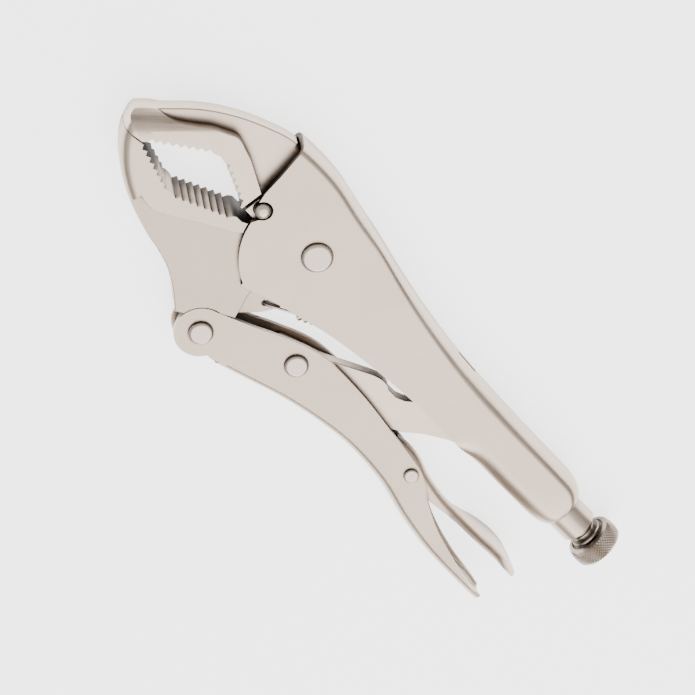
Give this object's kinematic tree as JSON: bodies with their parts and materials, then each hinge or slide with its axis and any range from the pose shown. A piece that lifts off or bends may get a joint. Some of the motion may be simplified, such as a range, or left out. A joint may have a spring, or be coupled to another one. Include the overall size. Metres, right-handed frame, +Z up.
{
  "type": "locking pliers",
  "caption": "Curved-jaw locking pliers in plated steel, lying on their side, with a channel handle, an over-centre handle, a release lever and an adjusting screw with a knurled knob.",
  "frame": {"origin": "centre of the lower face of the main rivet's head, which is the main pivot's axis where it meets the surface that the pliers lie on", "axes": "+X along the adjusting screw towards the knob, +Y across the tool towards the spine of the fixed handle, +Z up, along every rivet"},
  "size_m": [0.2523, 0.0846, 0.0192],
  "materials": {
    "nickel_plate": "satin nickel plating",
    "rivet_steel": "satin nickel plating over a pressed head",
    "spring_steel": "drawn wire",
    "screw_steel": "rolled thread, plated"
  },
  "bodies": {
    "frame": {"fixed_handle": "nickel_plate", "upper_jaw": "nickel_plate", "main_rivet": "rivet_steel", "locating_pin": "rivet_steel", "tension_spring": "spring_steel"},
    "lower_jaw": {"lower_jaw": "nickel_plate", "jaw_rivet": "rivet_steel"},
    "movable_handle": {"movable_handle": "nickel_plate", "link_rivet": "rivet_steel", "lever_rivet": "rivet_steel"},
    "toggle_link": {"toggle_link": "nickel_plate"},
    "release_lever": {"release_lever": "nickel_plate"},
    "adjusting_screw": {"adjusting_screw": "screw_steel"},
    "knurled_knob": {"knurled_knob": "nickel_plate"}
  },
  "joints": [
    {"name": "jaw_pivot", "type": "hinge", "parent": "frame", "child": "lower_jaw", "pos_m": [0, 0, 0.0096], "axis": [0, 0, 1], "range_deg": [0, 20], "deforming": ["tension_spring"]},
    {"name": "handle_pivot", "type": "hinge", "parent": "lower_jaw", "child": "movable_handle", "pos_m": [-0.0037, -0.0502, 0.0096], "axis": [0, 0, 1], "range_deg": [-72, 0]},
    {"name": "link_pivot", "type": "hinge", "parent": "movable_handle", "child": "toggle_link", "pos_m": [0.0297, -0.0341, 0.0096], "axis": [0, 0, 1], "range_deg": [0, 82]},
    {"name": "release_pivot", "type": "hinge", "parent": "movable_handle", "child": "release_lever", "pos_m": [0.0926, -0.033, 0.0096], "axis": [0, 0, 1], "range_deg": [-8, 0]},
    {"name": "screw_travel", "type": "slide", "parent": "frame", "child": "adjusting_screw", "axis": [1, 0, 0], "range_m": [0, 0.0196]},
    {"name": "knob_spin", "type": "hinge", "parent": "adjusting_screw", "child": "knurled_knob", "pos_m": [0.162, -0.0036, 0.0096], "axis": [1, 0, 0], "range_deg": [0, 4320]}
  ],
  "couplings": [
    {"joint": "handle_pivot", "follows": "jaw_pivot", "ratio": -3.6},
    {"joint": "link_pivot", "follows": "jaw_pivot", "ratio": 4.1},
    {"joint": "screw_travel", "follows": "knob_spin", "m_per_rad": 0.00023873}
  ]
}
